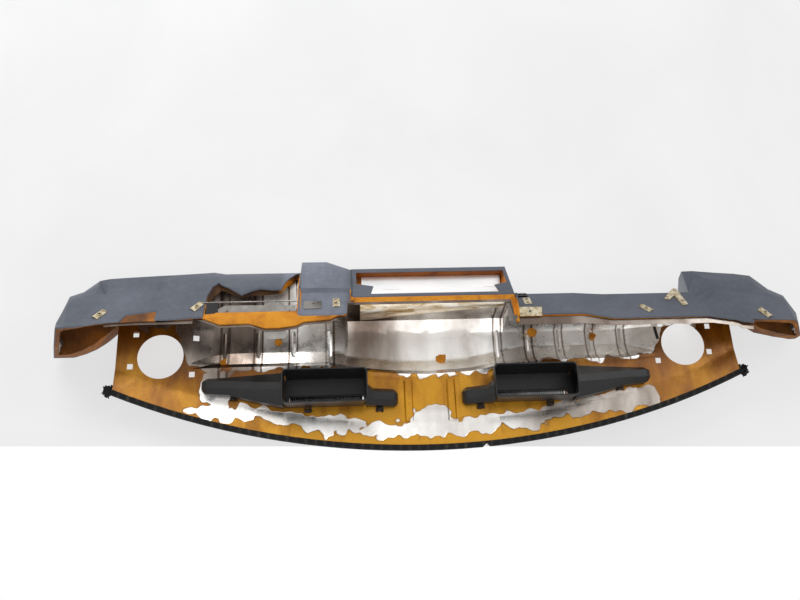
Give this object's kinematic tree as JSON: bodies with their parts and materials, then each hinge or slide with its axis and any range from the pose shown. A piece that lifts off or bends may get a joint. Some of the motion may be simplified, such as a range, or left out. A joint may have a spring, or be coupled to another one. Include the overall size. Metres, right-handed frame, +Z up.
{
  "type": "car dashboard shell",
  "caption": "Padded car dashboard shell: vinyl skin and foam on a pressed carrier, with demister ducts, speaker holes, instrument and centre openings, windscreen seal and clips.",
  "frame": {"origin": "on the car's centreline, on the underside of the flat plateau behind the windscreen edge", "axes": "+X to the car's right, +Y forward to the windscreen, +Z up"},
  "size_m": [1.5424, 0.3949, 0.1382],
  "materials": {
    "vinyl": "grained slate blue vinyl",
    "foam": "aged amber foam",
    "aluminium": "pressed sheet, patches of amber film",
    "seal": "matt",
    "duct": "satin moulded",
    "zinc": "yellowish zinc plate",
    "steel": "plain steel, light dirt",
    "dark_plastic": "satin"
  },
  "bodies": {
    "root": {"dash_skin": "vinyl", "foam_core": "foam", "carrier_pan": "aluminium", "windscreen_seal": "seal", "defroster_duct_left": "duct", "defroster_duct_right": "duct", "duct_vanes_left": "duct", "duct_vanes_right": "duct", "duct_clips": "duct", "cluster_crossmember": "steel", "crossmember_end_plate": "steel", "cluster_rail": "steel", "cluster_block": "dark_plastic", "centre_back_plate": "steel", "centre_plate_tabs": "steel", "spring_nut_left_outer": "zinc", "spring_nut_left_inner": "zinc", "spring_nut_hump": "zinc", "spring_nut_right_inner": "zinc", "spring_nut_right_outer": "zinc", "end_bracket_left": "steel", "end_bracket_right": "steel", "angle_bracket": "steel", "two_hole_tab": "steel", "square_hole_plate": "steel", "hanging_strip": "steel", "hanging_wire": "steel", "ledge_tab": "steel", "pan_strip": "dark_plastic", "foam_remnants": "foam", "corner_trim": "dark_plastic", "pan_edge_roll": "aluminium"}
  },
  "joints": []
}
